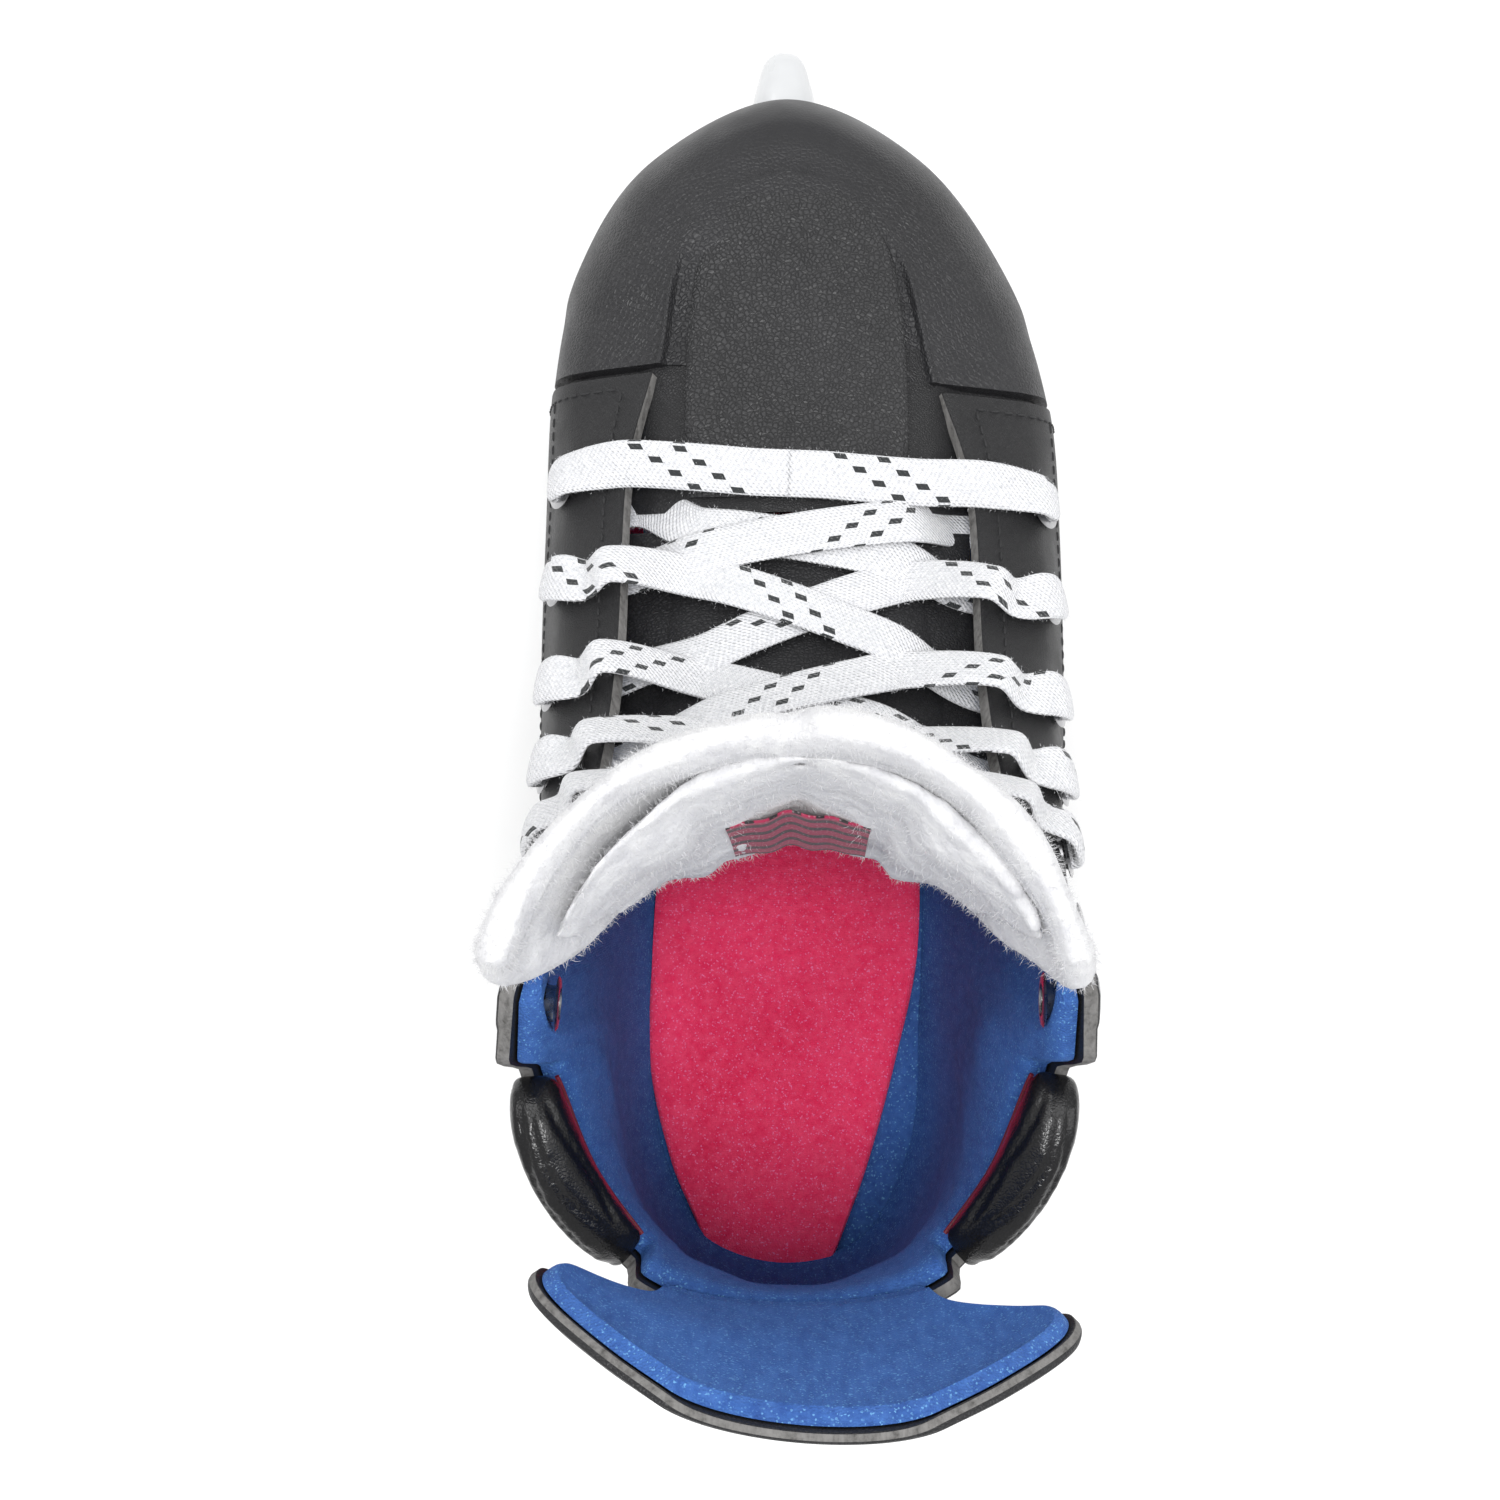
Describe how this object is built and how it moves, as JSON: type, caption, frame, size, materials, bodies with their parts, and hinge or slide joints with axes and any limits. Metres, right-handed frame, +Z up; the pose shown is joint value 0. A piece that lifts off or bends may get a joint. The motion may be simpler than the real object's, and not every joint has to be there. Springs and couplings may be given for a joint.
{
  "type": "ice hockey skate",
  "caption": "Right-foot ice hockey skate: laced padded boot with moulded toe cap, felt tongue and flared tendon guard on a white blade holder with a steel runner.",
  "frame": {"origin": "on the flat bottom of the steel runner, on the blade's centre plane, midway along the skate", "axes": "+Z up from the ice, +Y to the toe, +X to the outer (lateral) side of the right foot"},
  "size_m": [0.1078, 0.2983, 0.2412],
  "materials": {
    "upper_leather": "smooth matt coated leather",
    "grained_leather": "pebbled grain",
    "moulded_black": "moulded, fine leather grain",
    "gloss_vinyl": "wet-look gloss vinyl",
    "sole_black": "moulded",
    "board": "fibre board",
    "insole_red": "brushed foam",
    "label_red": "woven satin",
    "knit_blue": "brushed knit",
    "felt_white": "pressed wool felt",
    "lace_cotton": "flat braid with dark tracer threads",
    "aglet_clear": "gloss",
    "holder_white": "satin gloss",
    "runner_steel": "ground",
    "fastener_steel": "satin",
    "eyelet_nickel": "nickel plate"
  },
  "bodies": {
    "boot": {"quarter_medial": "upper_leather", "quarter_lateral": "upper_leather", "liner": "knit_blue", "ankle_pad_medial": "gloss_vinyl", "ankle_pad_lateral": "gloss_vinyl", "heel_counter": "moulded_black", "outsole": "sole_black", "lasting_board": "board", "insole": "insole_red", "toe_cap": "moulded_black", "vamp_panel": "grained_leather", "vamp": "upper_leather", "tongue_shell_lower": "gloss_vinyl", "tongue_felt_lower": "felt_white", "runner": "runner_steel", "holder": "holder_white", "runner_post_front": "fastener_steel", "runner_post_rear": "fastener_steel", "runner_nut_front": "fastener_steel", "runner_nut_rear": "fastener_steel", "lace_medial": "lace_cotton", "lace_lateral": "lace_cotton", "lace_end_medial": "lace_cotton", "lace_end_lateral": "lace_cotton", "lace_coil_medial": "lace_cotton", "lace_coil_lateral": "lace_cotton", "aglet_medial": "aglet_clear", "aglet_lateral": "aglet_clear", "eyelet_medial_1": "eyelet_nickel", "eyelet_medial_2": "eyelet_nickel", "eyelet_medial_3": "eyelet_nickel", "eyelet_medial_4": "eyelet_nickel", "eyelet_medial_5": "eyelet_nickel", "eyelet_medial_6": "eyelet_nickel", "eyelet_medial_7": "eyelet_nickel", "eyelet_lateral_1": "eyelet_nickel", "eyelet_lateral_2": "eyelet_nickel", "eyelet_lateral_3": "eyelet_nickel", "eyelet_lateral_4": "eyelet_nickel", "eyelet_lateral_5": "eyelet_nickel", "eyelet_lateral_6": "eyelet_nickel", "eyelet_lateral_7": "eyelet_nickel", "rivet_1": "eyelet_nickel", "rivet_2": "eyelet_nickel", "rivet_3": "eyelet_nickel", "rivet_4": "eyelet_nickel", "rivet_5": "eyelet_nickel", "rivet_6": "eyelet_nickel", "rivet_7": "eyelet_nickel", "rivet_8": "eyelet_nickel"},
    "tongue_flap": {"tongue_shell_upper": "gloss_vinyl", "tongue_felt_upper": "felt_white", "tongue_pad": "felt_white", "tongue_label": "label_red"},
    "guard": {"tendon_guard": "upper_leather", "tendon_guard_lining": "knit_blue"}
  },
  "joints": [
    {"name": "tongue_flop", "type": "hinge", "parent": "boot", "child": "tongue_flap", "pos_m": [0, -0.00816, 0.16656], "axis": [-1, 0, 0], "range_deg": [0, 60]},
    {"name": "guard_flex", "type": "hinge", "parent": "boot", "child": "guard", "pos_m": [0, -0.0995, 0.18685], "axis": [1, 0, 0], "range_deg": [-4, 25], "stiffness_Nm_per_rad": 0.5}
  ]
}
